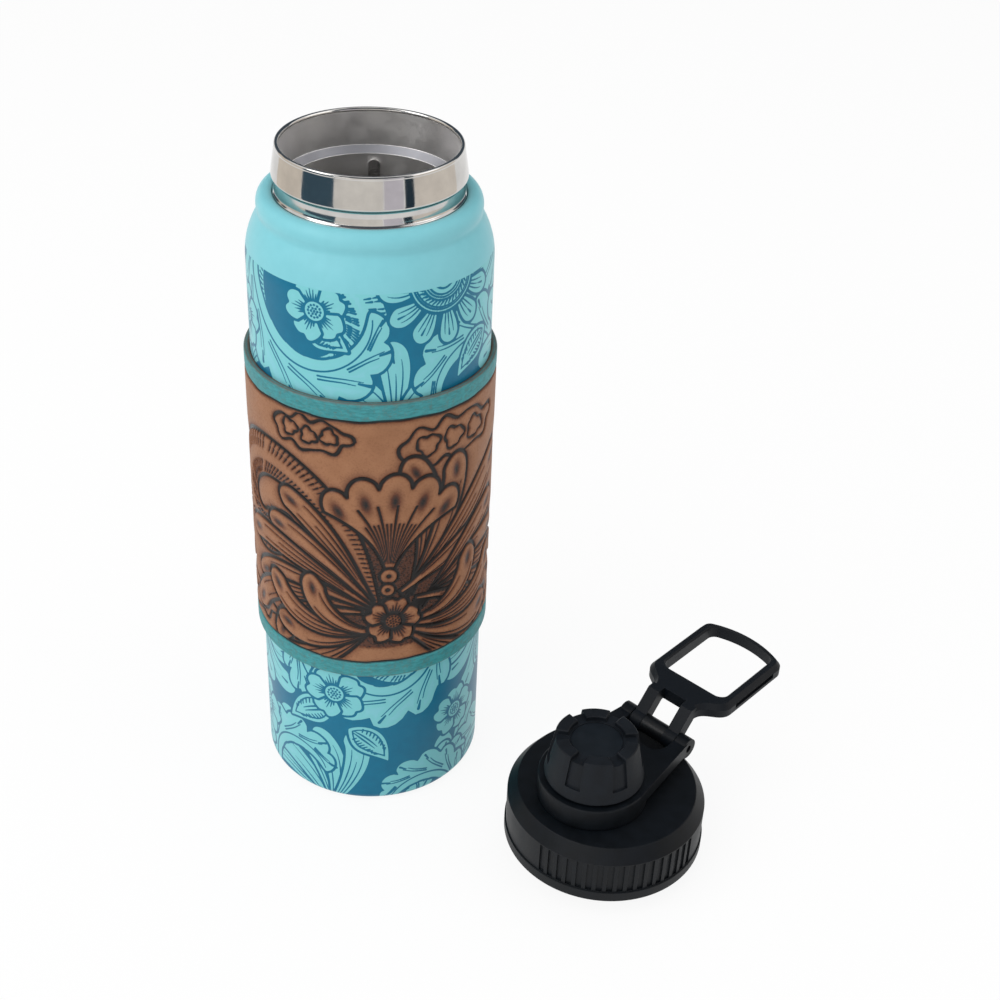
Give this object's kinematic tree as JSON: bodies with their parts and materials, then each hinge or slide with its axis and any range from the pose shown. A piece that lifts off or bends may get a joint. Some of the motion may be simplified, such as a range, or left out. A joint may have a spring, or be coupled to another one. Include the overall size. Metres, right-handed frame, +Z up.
{
  "type": "gourd water bottle",
  "caption": "Insulated wide-mouth steel bottle in a tooled leather sleeve, with its ribbed spout lid, swivelling carry loop and screw cap standing beside it.",
  "frame": {"origin": "centre of the bottle's foot circle, on the table it stands on", "axes": "+Z up along the bottle's axis, out of its mouth; the lid stands on the table towards +X and -Y, and -Y faces the picture's camera"},
  "size_m": [0.2201, 0.1577, 0.2736],
  "materials": {
    "body_coat": "satin powder coat",
    "polished_steel": "mirror polished",
    "brushed_steel": "brushed, passivated",
    "base_steel": "spun, brushed",
    "getter_alloy": "sintered, dull",
    "tooled_leather": "tooled, antiqued, waxed",
    "waxed_thread": "waxed",
    "lid_plastic": "fine moulded grain",
    "knob_plastic": "fine moulded grain",
    "disc_plastic": "satin",
    "liner_plastic": "satin",
    "barrel_plastic": "gloss",
    "pin_steel": "ground",
    "silicone": "matte"
  },
  "bodies": {
    "bottle": {"outer_shell": "body_coat", "polished_neck": "polished_steel", "inner_vessel": "brushed_steel", "neck_lugs": "brushed_steel", "base_disc": "base_steel", "vacuum_seal_disc": "base_steel", "getter": "getter_alloy", "leather_sleeve": "tooled_leather", "seam_thread": "waxed_thread"},
    "lid": {"lid_cover": "lid_plastic", "lid_plug": "lid_plastic", "drinking_spout": "lid_plastic", "lid_gasket": "silicone"},
    "collar": {"swivel_collar": "lid_plastic", "hinge_pin": "pin_steel"},
    "loop": {"carry_loop": "lid_plastic", "hinge_barrel": "barrel_plastic"},
    "cap_carrier": {"cap_seal": "silicone"},
    "cap": {"cap_knob": "knob_plastic", "cap_disc": "disc_plastic", "cap_liner": "liner_plastic"}
  },
  "joints": [
    {"name": "lid_lift", "type": "slide", "parent": "bottle", "child": "lid", "axis": [0, 0, 1], "range_m": [0, 0.3]},
    {"name": "collar_swivel", "type": "hinge", "parent": "lid", "child": "collar", "pos_m": [0.08663, -0.07484, 0.0375], "axis": [0, 0, 1], "range_deg": [-220, 55]},
    {"name": "loop_fold", "type": "hinge", "parent": "collar", "child": "loop", "pos_m": [0.11604, -0.04714, 0.0391], "axis": [0.6858, -0.7278, 0], "range_deg": [0, 95]},
    {"name": "cap_lift", "type": "slide", "parent": "lid", "child": "cap_carrier", "axis": [0, 0, 1], "range_m": [0, 0.02]},
    {"name": "cap_turn", "type": "hinge", "parent": "cap_carrier", "child": "cap", "pos_m": [0.08663, -0.07484, 0.0525], "axis": [0, 0, 1], "range_deg": [0, 900]}
  ],
  "couplings": [
    {"joint": "cap_lift", "follows": "cap_turn", "m_per_rad": 0.0012732}
  ]
}
